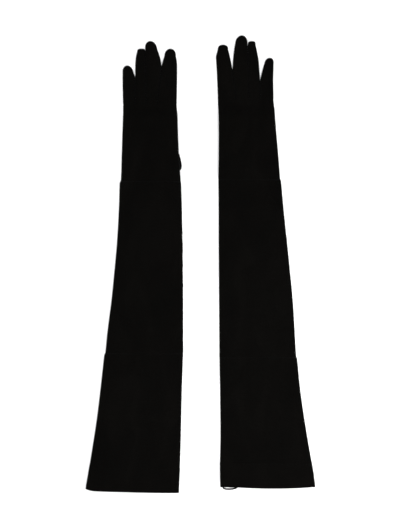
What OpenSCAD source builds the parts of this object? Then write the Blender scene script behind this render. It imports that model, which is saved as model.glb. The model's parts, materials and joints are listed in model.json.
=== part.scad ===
// A pair of elbow-length leather opera gloves, laid flat side by side, backs up and thumbs tucked
// under the palms. Each glove is cut and sewn from leather pieces over a thin lining:
// an upper sleeve, a forearm sleeve, a hand (trank), four finger stalls and a thumb.
// +Y points towards the fingertips, +Z is up, and the origin is under the middle of the pair.

/* [Leather and lining] */
// Thickness of the leather
leather_t = 0.8; // [0.6:0.1:1]
// Thickness of the lining
lining_t = 0.3; // [0.2:0.1:0.4]
// Clear space between two layers
layer_gap = 0.1; // [0.05:0.05:0.15]
// Clear space between pieces that move against each other
joint_gap = 0.4; // [0.3:0.1:0.6]

/* [Heights as laid flat] */
// Height of the two sleeves
sleeve_h = 9; // [8:0.5:12]
// Height of the hand
hand_h = 8.5; // [8:0.5:10]
// Height of each finger
finger_h = 8; // [7.5:0.5:9]
// Height of the thumb
thumb_h = 7; // [7:0.5:8]

/* [Hem and seams] */
// Depth of the leather facing inside the hem
facing_depth = 37; // [25:1:45]
// Width of the seam allowance turned inside a cross seam
seam_w = 4; // [3:0.5:6]
// Height of the seam along the outer edge
edge_seam_h = 2; // [1.5:0.5:3]
// Thickness of one seam allowance
seam_t = 0.5; // [0.3:0.1:0.6]
// Height of the side wall (fourchette) of a finger
fourchette_h = 3; // [2.5:0.5:3.5]

/* [Thumb] */
// Radius of the round hole that the thumb is sewn into
thumb_hole_r = 11.5; // [10:0.5:12]
// Length of the thumb past the middle of its hole
thumb_length = 58; // [50:1:62]
// Angle at which the tucked thumb points in under the palm
thumb_tuck = 14; // [8:1:18]

/* [Hanger loop] */
// Diameter of the loop
loop_d = 2.4; // [1.6:0.2:2.6]

/* [Hidden] */
LEFT = 0;
RIGHT = 1;
SIDES = ["left", "right"];
FINGERS = ["index", "middle", "ring", "little"];
SLEEVE_PIECES = ["sleeve", "lining", "edge_seam"];
UPPER_PIECES = concat(SLEEVE_PIECES, ["hem_facing", "elbow_seam"]);
FOREARM_PIECES = concat(SLEEVE_PIECES, ["wrist_seam"]);
HAND_PIECES = ["trank", "lining", "edge_seam"];
FINGER_PIECES = ["stall", "lining", "fourchettes"];
THUMB_PIECES = ["stall", "lining", "seam"];
LOOP_PIECES = ["right_hanger_loop", "right_loop_tacks"];

LEATHER = [0.03, 0.03, 0.033];
SEAM = [0.05, 0.05, 0.055];
SILK = [0.09, 0.09, 0.1];

// Which way the little finger's side lies from the thumb's side
outward = [-1, 1];

// Where the cross seams lie, and where the fingers begin
elbow_y = [-135, -141];
wrist_y = [123, 126];
root_y = [239, 247];

// Outlines. Each row is a station: [y, x of the thumb's edge, x of the outer edge]
upper_rows = [
    [[-343.4, -33, -172], [-285, -30.5, -163], [-240, -29.5, -155.9], [-191, -28.5, -150],
     [elbow_y[LEFT], -26.5, -144]],
    [[-335, 30.5, 172], [-315, 29.8, 169.8], [-291, 29.6, 165.5], [-270, 30.7, 161.7],
     [-235, 30.5, 156], [-191, 30, 149.5], [elbow_y[RIGHT], 29, 144.8]]];
forearm_rows = [
    [[elbow_y[LEFT], -26.3, -142.4], [-105, -26.4, -140], [-54, -26.5, -133], [30, -27.3, -125],
     [82, -28.2, -122], [wrist_y[LEFT], -29.4, -121]],
    [[elbow_y[RIGHT], 29, 143.4], [-105, 28.8, 141.4], [-54, 28.4, 138.5], [30, 27.8, 130],
     [82, 27.8, 124.4], [wrist_y[RIGHT], 27.3, 120.6]]];
hand_rows = [
    [[wrist_y[LEFT], -30, -119.4], [139, -31, -118.4], [166, -33.2, -118], [208, -34.4, -116.4],
     [228, -35, -115.9], [root_y[LEFT], -36.2, -115.5]],
    [[wrist_y[RIGHT], 27.2, 119.4], [142, 27.3, 118.2], [166, 27.8, 116.5], [208, 27.9, 112.5],
     [230, 27.3, 111.2], [root_y[RIGHT], 26.6, 109.3]]];

// The left hem runs down towards the thumb's side by this much
hem_drop = [3.2, 0];

// Fingers. Each row is [y, x of the left edge, x of the right edge], from the root to where the
// tip starts to round off
finger_rows = [
    [[[root_y[LEFT], -65, -36.2], [272, -61.2, -35.6], [297, -58.2, -35.4], [305, -55.8, -36],
      [312, -53.6, -37.4]],
     [[root_y[LEFT], -81.4, -65.5], [272, -81.7, -61.6], [297, -82.2, -58.7], [309, -82.4, -60.9],
      [322, -82.6, -65.3]],
     [[root_y[LEFT], -97.9, -81.8], [280, -97.6, -82.2], [300, -97.2, -82.6], [312, -96.2, -82.9],
      [318, -94.8, -83]],
     [[root_y[LEFT], -115.5, -98.3], [262, -116, -98.1], [280, -116.2, -98.1], [287, -116, -101]]],
    [[[root_y[RIGHT], 26.6, 53.7], [268, 25.9, 51.4], [291, 24.9, 47.8], [311, 23.5, 43.7],
      [321, 26.4, 41.2]],
     [[root_y[RIGHT], 54.2, 72.3], [268, 51.9, 72.2], [291, 48.3, 72], [309, 49.6, 71.4],
      [321, 50.9, 70.9], [331, 52.6, 70.2]],
     [[root_y[RIGHT], 72.8, 90], [277, 72.6, 89.1], [291, 72.5, 87.9], [306, 71.9, 86.7],
      [320, 71.4, 84.1], [329, 71, 82.2]],
     [[root_y[RIGHT], 90.5, 109], [276, 89.8, 108.4], [288, 92.9, 108.8], [300, 96.2, 109]]]];
// Where each fingertip ends: [x, y]
fingertips = [
    [[-45, 323], [-75.3, 334.5], [-88.6, 323], [-110, 297.8]],
    [[33.9, 328.8], [62.2, 343], [77.2, 334.3], [104.2, 309.2]]];
// A side wall ends this far before its fingertip starts to round off
window_end = 1.3;
// Sides on which a finger faces a neighbour, counted outward from the thumb: in, out
facing_sides = [[1], [-1, 1], [-1, 1], [-1]];

// Middle of the thumb's hole: in from the thumb's edge and along from the wrist
thumb_inset = 15;
thumb_along = 34;
// How far the thumb's root reaches past the middle of its hole, towards the thumb's edge
thumb_out = [16.9, 12.4];
// The hand is lifted over the thumb: it climbs up to lift_from past the wrist, and comes down again
// between lift_to and lift_end
lift_from = 15;
lift_to = thumb_along + thumb_length + 2;
lift_end = lift_to + 19;
lift = thumb_h + joint_gap;

// Depths of the layers, counted in from the outer face of the leather
lining_out = leather_t + layer_gap;
lining_in = lining_out + lining_t;
facing_in = lining_out + seam_t;

// Unit cross-section of a soft tube lying flat: u across from -1 to 1, v up from 0 to 1
flat_part = 0.7;
corner = [30, 60, 90];
unit_section = concat(
    [[-flat_part, 0], [0, 0], [flat_part, 0]],
    [for (a = corner) [flat_part + (1 - flat_part) * sin(a), 0.5 - 0.5 * cos(a)]],
    [for (a = corner) [flat_part + (1 - flat_part) * cos(a), 0.5 + 0.5 * sin(a)]],
    [[0, 1], [-flat_part, 1]],
    [for (a = corner) [-flat_part - (1 - flat_part) * sin(a), 0.5 + 0.5 * cos(a)]],
    [for (a = [30, 60]) [-flat_part - (1 - flat_part) * cos(a), 0.5 - 0.5 * sin(a)]]);
N = len(unit_section);

// A station of a tube: [y, low x, high x, bottom z, height, slope of y over x]
function station(y, xa, xb, z, h, slope = 0) = [y, min(xa, xb), max(xa, xb), z, h, slope];

// The station's outline, moved in by a layer depth
function section(s, depth) =
    let (x0 = s[1] + depth, x1 = s[2] - depth, z0 = s[3] + depth, h = s[4] - 2 * depth)
    [for (p = unit_section)
        let (x = (x0 + x1) / 2 + p[0] * (x1 - x0) / 2)
        [x, s[0] + s[5] * (x - s[1]), z0 + p[1] * h]];

// Reads one column of a table of stations at any y
function column(rows, k, y) = lookup(y, [for (r = rows) [r[0], r[k]]]);

// Cuts or extends a table of stations to the stretch from y0 to y1
function stretch(rows, y0, y1) = concat(
    [[y0, column(rows, 1, y0), column(rows, 2, y0)]],
    [for (r = rows) if (r[0] > y0 + 1 && r[0] < y1 - 1) r],
    [[y1, column(rows, 1, y1), column(rows, 2, y1)]]);

function reversed(list) = [for (i = [len(list) - 1:-1:0]) list[i]];

// Two triangles for each side between ring a and ring b
function band(a, b, n) = [for (i = [0:n - 1]) let (j = (i + 1) % n)
    each [[a * n + i, b * n + j, b * n + i], [a * n + i, a * n + j, b * n + j]]];

// A flat end over ring k, facing along the rings or back against them. It starts beside a corner, so
// that no three of its first points lie in a line.
function end_cap(k, n) = [for (i = [0:n - 1]) k * n + (i + n - 1) % n];
function start_cap(k, n) = reversed(end_cap(k, n));

// A solid skinned over rings, with flat ends
module skinned(rings) {
    n = len(rings[0]);
    last = len(rings) - 1;
    polyhedron(
        points = [for (r = rings) each r],
        faces = concat(
            [for (k = [0:last - 1]) each band(k, k + 1, n)],
            [start_cap(0, n), end_cap(last, n)]));
}

// A tube open at both ends, between two layer depths
module open_tube(stations, outer, inner) {
    rings = concat(
        [for (s = stations) section(s, outer)],
        [for (s = reversed(stations)) section(s, inner)]);
    m = len(rings);
    polyhedron(
        points = [for (r = rings) each r],
        faces = [for (k = [0:m - 1]) each band(k, (k + 1) % m, N)]);
}

// A tube open at its first station and closed at its last
module pocket(outer_stations, inner_stations, outer, inner) {
    a = [for (s = outer_stations) section(s, outer)];
    b = [for (s = reversed(inner_stations)) section(s, inner)];
    m = len(a);
    total = m + len(b);
    polyhedron(
        points = [for (r = concat(a, b)) each r],
        faces = concat(
            [for (k = [0:m - 2]) each band(k, k + 1, N)],
            [end_cap(m - 1, N), start_cap(m, N)],
            [for (k = [m:total - 2]) each band(k, k + 1, N)],
            band(total - 1, 0, N)));
}

// A thin upright strip that follows an edge. Each point is [x at the edge, y, z at mid-height]
module edge_strip(points, from, to, height) {
    skinned([for (p = points) [
        [p[0] + min(from, to), p[1], p[2] - height / 2],
        [p[0] + max(from, to), p[1], p[2] - height / 2],
        [p[0] + max(from, to), p[1], p[2] + height / 2],
        [p[0] + min(from, to), p[1], p[2] + height / 2]]]);
}

// The hem's slope: y falls by hem_drop from the outer edge to the thumb's edge
function hem_slope(g) = -hem_drop[g] / abs(upper_rows[g][0][1] - upper_rows[g][0][2]);
function upper_top(g) = elbow_y[g] - joint_gap / 2;

// The outer rows start at the hem, where the outer edge lies hem_drop above the thumb's edge
function upper_stations(g, y0, y1) = [for (r = stretch(upper_rows[g], y0, y1))
    let (t = (elbow_y[g] - r[0]) / (elbow_y[g] - upper_rows[g][0][0]), drop = t * hem_slope(g))
    station(r[0] - min(0, drop) * abs(r[1] - r[2]), r[1], r[2], 0, sleeve_h, drop)];

module upper_sleeve(g) {
    color(LEATHER)
        open_tube(upper_stations(g, upper_rows[g][0][0], upper_top(g)), 0, leather_t);
}

module hem_facing(g) {
    hem = upper_rows[g][0][0];
    color(LEATHER)
        open_tube(upper_stations(g, hem + 0.5, hem + facing_depth), lining_out, facing_in);
}

module upper_lining(g) {
    hem = upper_rows[g][0][0];
    color(SILK)
        open_tube(
            upper_stations(g, hem + facing_depth + layer_gap, upper_top(g) - seam_w - layer_gap),
            lining_out, lining_in);
}

module elbow_seam(g) {
    color(SEAM)
        open_tube(upper_stations(g, upper_top(g) - seam_w, upper_top(g)), lining_out, facing_in);
}

// The seam along the outer edge, from a list of stations
module edge_seam(g, stations) {
    color(SEAM)
        edge_strip(
            [for (s = stations)
                let (x = g == LEFT ? s[1] : s[2])
                [x, s[0] + s[5] * (x - s[1]), s[3] + s[4] / 2]],
            outward[g] * layer_gap / 2, outward[g] * (layer_gap / 2 + seam_t), edge_seam_h);
}

function forearm_bottom(g) = elbow_y[g] + joint_gap / 2;
function forearm_top(g) = wrist_y[g] - joint_gap / 2;
function forearm_stations(g, y0, y1) = [for (r = stretch(forearm_rows[g], y0, y1))
    station(r[0], r[1], r[2], 0, sleeve_h)];

module forearm_sleeve(g) {
    color(LEATHER)
        open_tube(forearm_stations(g, forearm_bottom(g), forearm_top(g)), 0, leather_t);
}

module forearm_lining(g) {
    color(SILK)
        open_tube(
            forearm_stations(g, forearm_bottom(g), forearm_top(g) - seam_w - layer_gap),
            lining_out, lining_in);
}

module wrist_seam(g) {
    color(SEAM)
        open_tube(
            forearm_stations(g, forearm_top(g) - seam_w, forearm_top(g)), lining_out, facing_in);
}

// The hand's underside climbs over the thumb and comes down again before the fingers
function hand_lift(g, y) = lookup(y - wrist_y[g],
    [[0, 0], [lift_from, lift], [lift_to, lift], [lift_end, 0]]);
function hand_height(g, y) = lookup(y - wrist_y[g],
    [[0, sleeve_h], [lift_from, hand_h], [lift_to, hand_h], [lift_end, finger_h]]);
function hand_stations(g) = [
    for (along = [joint_gap / 2, lift_from / 2, lift_from, thumb_along, 65, lift_to,
                  (lift_to + lift_end) / 2, lift_end, root_y[g] - wrist_y[g] - joint_gap / 2])
    let (y = wrist_y[g] + along)
    station(y, column(hand_rows[g], 1, y), column(hand_rows[g], 2, y),
        hand_lift(g, y), hand_height(g, y))];

// Middle of the thumb's hole
function thumb_y(g) = wrist_y[g] + thumb_along;
function thumb_x(g) = column(hand_rows[g], 1, thumb_y(g)) + outward[g] * thumb_inset;

// A round cut at the thumb's hole, through the hand's lower wall only
module thumb_hole_cut(g) {
    translate([thumb_x(g), thumb_y(g), lift - 1])
        cylinder(r = thumb_hole_r, h = 1 + hand_h / 2, $fn = 48);
}

module hand_trank(g) {
    color(LEATHER)
        difference() {
            open_tube(hand_stations(g), 0, leather_t);
            thumb_hole_cut(g);
        }
}

module hand_lining(g) {
    color(SILK)
        difference() {
            open_tube(hand_stations(g), lining_out, lining_in);
            thumb_hole_cut(g);
        }
}

// Stations of a finger: along its rows, then rounding off to the tip, each depth shortens it
function finger_stations(g, f, shorter = 0) =
    let (rows = finger_rows[g][f], last = rows[len(rows) - 1], tip = fingertips[g][f])
    let (reach = tip[1] - shorter - last[0], middle = (last[1] + last[2]) / 2)
    concat(
        [for (i = [0:len(rows) - 1])
            let (r = rows[i])
            station(i == 0 ? r[0] + joint_gap / 2 : r[0], r[1], r[2], 0, finger_h)],
        [for (t = [0.5, 0.8, 1])
            let (round_off = sqrt(1 - pow(0.96 * t, 2)), half = (last[2] - last[1]) / 2 * round_off)
            let (x = middle + (tip[0] - middle) * t)
            station(last[0] + reach * t, x - half, x + half, 0,
                finger_h * (0.4 + 0.6 * round_off))]);

// A window along a finger's side, open at the root, that its side wall fills
module fourchette_window(g, f, side) {
    rows = finger_rows[g][f];
    last = rows[len(rows) - 1];
    start = (last[1] + last[2]) / 2 + side * 2;
    reach = 30;
    height = fourchette_h + 2 * layer_gap;
    translate([side > 0 ? start : start - reach, rows[0][0] - 1, (finger_h - height) / 2])
        cube([reach, last[0] - window_end - rows[0][0] + 1, height]);
}

module finger_stall(g, f) {
    color(LEATHER)
        difference() {
            pocket(finger_stations(g, f), finger_stations(g, f, leather_t), 0, leather_t);
            for (side = facing_sides[f])
                fourchette_window(g, f, side * outward[g]);
        }
}

module finger_lining(g, f) {
    color(SILK)
        pocket(
            finger_stations(g, f, lining_out), finger_stations(g, f, lining_in),
            lining_out, lining_in);
}

// The side walls that face the neighbouring fingers, one strip on each such side
module finger_fourchettes(g, f) {
    rows = finger_rows[g][f];
    first = rows[0][0] + joint_gap;
    last = rows[len(rows) - 1][0] - window_end - layer_gap;
    color(LEATHER)
        for (side = facing_sides[f]) {
            outer_side = side * outward[g] > 0;
            edge_strip(
                [for (r = stretch(rows, first, last)) [r[outer_side ? 2 : 1], r[0], finger_h / 2]],
                0, (outer_side ? -1 : 1) * leather_t, fourchette_h);
        }
}

// The thumb lies in its own frame: +Y along it, +X towards the thumb's edge, origin at its hole.
// Each row is [y, low x, high x, share of the thumb's height]. A layer deeper in is shorter at both
// ends.
function thumb_stations(g, shorter) = let (out = thumb_out[g]) [
    for (r = [
        [-23 + shorter, -4, out - 7, 0.55], [-20 + shorter, -7.5, out - 3, 0.8],
        [-14, -10.5, out - 0.6, 1], [-6, -12, out, 1], [4, -12, out, 1], [18, -12, 12, 1],
        [36, -11, 11.5, 1], [thumb_length - 10, -10.5, 11, 1], [thumb_length - 4, -8, 8.5, 1],
        [thumb_length - shorter, -4, 4.5, 0.8]])
    station(r[0], r[1], r[2], 0, thumb_h * r[3])];

module thumb_solid(g, depth) {
    skinned([for (s = thumb_stations(g, depth)) section(s, depth)]);
}

// Places the thumb's own frame under the palm, tucked in
module in_thumb_frame(g) {
    translate([thumb_x(g), thumb_y(g), 0])
        mirror([g == LEFT ? 0 : 1, 0, 0])
            rotate([0, 0, thumb_tuck])
                children();
}

module thumb_layer(g, outer, inner, mouth_r) {
    in_thumb_frame(g)
        difference() {
            thumb_solid(g, outer);
            thumb_solid(g, inner);
            translate([0, 0, thumb_h / 2])
                cylinder(r = mouth_r, h = thumb_h, $fn = 48);
        }
}

seam_r = thumb_hole_r - 0.3;
mouth_r = seam_r - 1.6;

module thumb_stall(g) {
    color(LEATHER)
        thumb_layer(g, 0, leather_t, mouth_r);
}

module thumb_lining(g) {
    color(SILK)
        thumb_layer(g, lining_out, lining_in, mouth_r);
}

// The round seam that stands up through the hand's thumb hole
module thumb_seam(g) {
    color(SEAM)
        translate([thumb_x(g), thumb_y(g), thumb_h])
            difference() {
                cylinder(r = seam_r, h = joint_gap + leather_t + 0.4, $fn = 48);
                translate([0, 0, -1])
                    cylinder(r = mouth_r, h = joint_gap + leather_t + 3, $fn = 48);
            }
}

// The loop hangs from two tacks inside the right hem: [x, y, z] along its middle
loop_route = [
    [35.5, -329.5, 4.5], [35.2, -333, 4.5], [34.6, -335.4, 4.2], [35, -337, 3.1], [37.2, -338, 2],
    [40.8, -338.4, 1.35], [45.5, -338.3, 1.3], [50, -337.7, 1.6], [53.6, -336.5, 2.5],
    [55.1, -334.4, 2.9], [55.4, -329.5, 2.9]];
loop_sides = 8;
tack = [3, 5, 1.4];

function unit(v) = v / norm(v);
function heading(route, i) = unit(route[min(i + 1, len(route) - 1)] - route[max(i - 1, 0)]);

module hanger_loop() {
    color(LEATHER)
        skinned([for (i = [0:len(loop_route) - 1])
            let (d = i == 0 ? [0, -1, 0] : i == len(loop_route) - 1 ? [0, 1, 0]
                : heading(loop_route, i), across = unit([d[1], -d[0], 0]))
            [for (k = [0:loop_sides - 1])
                let (a = 360 * k / loop_sides)
                loop_route[i] + loop_d / 2 * (cos(a) * across + [0, 0, sin(a)])]]);
}

module loop_tacks() {
    color(SEAM)
        for (end = [loop_route[0], loop_route[len(loop_route) - 1]])
            translate([end[0] - tack[0] / 2, end[1], end[2] - tack[2] / 2])
                cube(tack);
}

module show(name) {
    children();
}

for (g = [LEFT, RIGHT]) {
    side = SIDES[g];
    show(str(side, "_upper_sleeve")) upper_sleeve(g);
    show(str(side, "_upper_lining")) upper_lining(g);
    show(str(side, "_upper_edge_seam"))
        edge_seam(g, upper_stations(g, upper_rows[g][0][0], upper_top(g)));
    show(str(side, "_upper_hem_facing")) hem_facing(g);
    show(str(side, "_upper_elbow_seam")) elbow_seam(g);

    show(str(side, "_forearm_sleeve")) forearm_sleeve(g);
    show(str(side, "_forearm_lining")) forearm_lining(g);
    show(str(side, "_forearm_edge_seam"))
        edge_seam(g, forearm_stations(g, forearm_bottom(g), forearm_top(g)));
    show(str(side, "_forearm_wrist_seam")) wrist_seam(g);

    show(str(side, "_hand_trank")) hand_trank(g);
    show(str(side, "_hand_lining")) hand_lining(g);
    show(str(side, "_hand_edge_seam")) edge_seam(g, hand_stations(g));

    for (f = [0:len(FINGERS) - 1]) {
        show(str(side, "_", FINGERS[f], "_stall")) finger_stall(g, f);
        show(str(side, "_", FINGERS[f], "_lining")) finger_lining(g, f);
        show(str(side, "_", FINGERS[f], "_fourchettes")) finger_fourchettes(g, f);
    }

    show(str(side, "_thumb_stall")) thumb_stall(g);
    show(str(side, "_thumb_lining")) thumb_lining(g);
    show(str(side, "_thumb_seam")) thumb_seam(g);
}
show("right_hanger_loop") hanger_loop();
show("right_loop_tacks") loop_tacks();
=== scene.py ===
"""A pair of black suede opera gloves lying flat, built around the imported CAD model.

Metres, +Y to the fingertips. Each glove is one skin of quads, a long tube that splits into four fingers, and
the thumb under the palm is a skin of its own. The outlines are read from the CAD nodes. The skins are
simulated as cloth, and each leather, lining and seam piece is then cut from them as a closed shell between
two depths below the surface.
"""

import json
import math

import bpy
import numpy as np
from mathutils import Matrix, Vector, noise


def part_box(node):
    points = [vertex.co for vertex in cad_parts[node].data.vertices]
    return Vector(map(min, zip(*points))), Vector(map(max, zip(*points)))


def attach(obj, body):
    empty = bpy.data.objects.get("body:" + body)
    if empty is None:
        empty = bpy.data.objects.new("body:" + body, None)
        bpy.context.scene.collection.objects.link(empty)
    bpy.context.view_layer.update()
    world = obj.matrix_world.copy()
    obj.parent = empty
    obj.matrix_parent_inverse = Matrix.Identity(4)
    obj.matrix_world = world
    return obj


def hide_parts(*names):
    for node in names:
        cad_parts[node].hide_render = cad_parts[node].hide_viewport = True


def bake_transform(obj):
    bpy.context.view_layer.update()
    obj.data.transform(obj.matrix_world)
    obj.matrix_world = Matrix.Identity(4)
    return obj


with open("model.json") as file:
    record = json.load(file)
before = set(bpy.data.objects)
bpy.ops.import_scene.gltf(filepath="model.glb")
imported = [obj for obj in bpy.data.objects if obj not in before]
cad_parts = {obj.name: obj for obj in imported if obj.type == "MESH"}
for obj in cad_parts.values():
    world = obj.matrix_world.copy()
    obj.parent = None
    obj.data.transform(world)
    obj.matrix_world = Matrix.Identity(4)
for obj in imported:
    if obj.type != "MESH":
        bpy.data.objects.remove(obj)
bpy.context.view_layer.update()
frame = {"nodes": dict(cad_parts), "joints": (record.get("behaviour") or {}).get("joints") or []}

MM = 0.001
SIDES = ("left", "right")
OUTWARD = {"left": -1.0, "right": 1.0}
FINGERS = ("index", "middle", "ring", "little")

# The skin's grid: segments across the back or the palm, on each finger, and round the thumb
ACROSS = 48
AROUND = 2 * ACROSS
PER_FINGER = ACROSS // len(FINGERS)
THUMB_AROUND = 40
ROW_STEP = 4.0 * MM
FINGER_STEP = 2.0 * MM
# Rows close together: on each side of a seam, at the hem, and at the fingers' roots
SEAM_ROWS = (0.0, 1.0 * MM, 2.4 * MM, 4.4 * MM)
HEM_ROWS = (0.0, 0.8 * MM, 2.2 * MM)
ROOT_ROWS = (0.0, 1.5 * MM, 3.5 * MM)
# How much closer the columns stand at the edges than in the middle, from 0 to 1
EDGE_CROWDING = 0.5

# Layers, as depths below the skin
LEATHER = (0.0, 0.8 * MM)
TURNED_IN = (0.86 * MM, 1.25 * MM)
LINING = (1.32 * MM, 1.55 * MM)

# How flat the tubes lie, as a share of the CAD tube's height, and how square their section is.
# The mouth stands more open and square, and closes over a distance.
FLATNESS = 0.78
THUMB_FLATNESS = 0.9
SECTION_POWER = 2.8
MOUTH_POWER = 4.0
MOUTH_LENGTH = 75 * MM
FINGER_POWER = 2.5
SEAM_GROOVE = 0.55 * MM
# The hem's turned-in facing: its height, how far it lifts the leather, and how far that step spreads
FACING = 37 * MM
FACING_STEP = 0.22 * MM
FACING_FADE = 0.9 * MM
# The bottom of the gloves stays this far above the floor
CLEAR_OF_FLOOR = 0.5 * MM
# How far the soft edges swell out past the outline. Beside another finger it depends on the gap between the
# two, given here as (gap, swelling), so that they never meet.
EDGE_FULLNESS = 0.45 * MM
SWELLING = ((0.05 * MM, 0), (0.75 * MM, 0.35 * MM), (1.4 * MM, 0.1 * MM), (4 * MM, EDGE_FULLNESS))
# The hem's line across the sleeve: how far it sags, and where and how widely across. How far its outer corner
# is turned up, over what share of the width, and how far up the sleeve its line still shows
HEM_SAG = {"left": (0.3 * MM, 0.5, 0.5), "right": (1.7 * MM, 0.593, 0.4)}
HEM_CORNER = {"left": 2.9 * MM, "right": 0.0}
HEM_CORNER_SHARE = 0.1
HEM_LINE_FADE = 45 * MM
# The share of the palm's width over the thumb, and the share over which it comes down
THUMB_SHARE, THUMB_FADE = 0.42, 0.58
# Where a finger's rows stand in its tip, and where its side walls end, as a share of its length
TIP_ROWS = (0.2, 0.4, 0.57, 0.71, 0.82, 0.905, 0.96, 0.99)
WALL_END = 0.86
# Distances from each fold's hinge, given with a piece's two bodies as where its bend would start and end; the
# pieces are not bent
BEND = {"elbow": 16 * MM, "wrist": 13 * MM, "finger": 15 * MM}


def smoothstep(t):
    t = np.clip(t, 0.0, 1.0)
    return t * t * (3 - 2 * t)


def lerp(a, b, t):
    return a + (b - a) * t


# ---- reading the frame


def joint_place(name):
    return next(j for j in frame["joints"] if j["name"] == name)["pos_m"]


def node_edges(*names):
    """Every mesh edge of these CAD nodes, as an array of end points."""
    found = []
    for name in names:
        mesh = frame["nodes"][name].data
        co = np.array([v.co for v in mesh.vertices])
        found.append(co[np.array([e.vertices[:] for e in mesh.edges])])
    return np.concatenate(found)


def cut(edges, y):
    """Where the edges cross the plane at y: lowest and highest x, then lowest and highest z."""
    a, b = edges[:, 0], edges[:, 1]
    crossing = (a[:, 1] - y) * (b[:, 1] - y) < 0
    a, b = a[crossing], b[crossing]
    t = ((y - a[:, 1]) / (b[:, 1] - a[:, 1]))[:, None]
    p = a + (b - a) * t
    return p[:, 0].min(), p[:, 0].max(), p[:, 2].min(), p[:, 2].max()


class Outline:
    """The edges and heights of a tube along y, sampled from its CAD nodes and smoothed."""

    SAMPLES = 120

    def __init__(self, edges, y0, y1, outward, spread):
        self.ys = np.linspace(y0, y1, self.SAMPLES)
        cuts = np.array([cut(edges, y) for y in self.ys])
        inner, outer = (cuts[:, 0], cuts[:, 1]) if outward > 0 else (cuts[:, 1], cuts[:, 0])
        self.thumb_edge = self.smoothed(inner, spread)
        self.outer_edge = self.smoothed(outer, spread)
        self.low, self.high = cuts[:, 2], cuts[:, 3]

    def smoothed(self, values, spread):
        """A running mean over a distance, on values carried on in a straight line at both ends."""
        step = self.ys[1] - self.ys[0]
        n = max(1, int(spread / step))
        reach = np.arange(1, n + 1)
        before = values[0] - reach[::-1] * (values[1] - values[0])
        after = values[-1] + reach * (values[-1] - values[-2])
        mean = np.ones(2 * n + 1) / (2 * n + 1)
        return np.convolve(np.concatenate([before, values, after]), mean, "valid")

    def at(self, y, values):
        """A column at y, carried on in a straight line past both ends."""
        if self.ys[0] <= y <= self.ys[-1]:
            return np.interp(y, self.ys, values)
        end, beside = (0, 1) if y < self.ys[0] else (-1, -2)
        slope = (values[end] - values[beside]) / (self.ys[end] - self.ys[beside])
        return values[end] + (y - self.ys[end]) * slope

    def edges(self, y_thumb, y_outer):
        """The two edges as (x, y)."""
        return (self.at(y_thumb, self.thumb_edge), y_thumb), (self.at(y_outer, self.outer_edge), y_outer)


# ---- the skin's grid


def stations(length, start_rows, end_rows, step):
    """Distances from 0 to length, step apart in the middle and as given at the ends."""
    first, last = max(start_rows), length - max(end_rows)
    middle = np.linspace(first, last, max(2, int(round((last - first) / step)) + 1))[1:-1]
    return np.concatenate([sorted(start_rows), middle, sorted(length - np.array(end_rows))])


def with_rows(rows, extra, apart):
    """The rows with some extra ones, in place of any that stand too close to them."""
    kept = [d for d in rows if d in (rows[0], rows[-1]) or min(abs(d - e) for e in extra) > apart]
    return np.array(sorted(kept + list(extra)))


def crowded(u):
    """Even places from 0 to 1, moved closer together at both ends."""
    return u - EDGE_CROWDING * np.sin(2 * np.pi * u) / (2 * np.pi)


def section_height(a, power):
    """Half-height of a flat tube's section at a, which runs from 0 to 1 across it."""
    return 0.5 * np.power(np.clip(1 - np.abs(2 * a - 1) ** power, 0, 1), 1 / power)


def finger_layout(f):
    """The points of finger f's ring, from the thumb side over the back and round: each one's angle, and its
    place in the hand's ring, or None on a side wall. A side that faces a neighbour has corners where its side
    wall is sewn in; the other sides share one point at the edge."""
    faces_in, faces_out = f > 0, f < len(FINGERS) - 1
    corner, inner = 27.0, 9.0
    start, end = 180.0 - corner if faces_in else 180.0, corner if faces_out else 0.0
    columns = range(f * PER_FINGER, (f + 1) * PER_FINGER + 1)
    below = [(AROUND - i) % AROUND for i in columns[::-1]]
    top = list(zip(np.linspace(start, end, len(columns)), columns))
    bottom = list(zip(-np.linspace(end, start, len(columns)), below))
    out_wall, in_wall = [(inner, None), (-inner, None)], [(inner - 180.0, None), (180.0 - inner, None)]
    if not faces_out:
        out_wall, bottom = [], bottom[1:]
    if not faces_in:
        in_wall, bottom = [], bottom[:-1]
    angles, places = zip(*(top + out_wall + bottom + in_wall))
    return np.radians(angles), places


def finger_seams(f):
    """The seams of finger f's side walls, as columns: (next on the stall, corner, next on the wall)."""
    found = []
    if f < len(FINGERS) - 1:
        found += [tuple(PER_FINGER + k for k in columns) for columns in ((-1, 0, 1), (4, 3, 2))]
    if f > 0:
        found += [(1, 0, -1), (-4, -3, -2)]
    return found


def rounded(values):
    """A circle's cosines or sines, made into those of a finger's squarer section."""
    return np.sign(values) * np.abs(values) ** (2 / FINGER_POWER)


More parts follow.
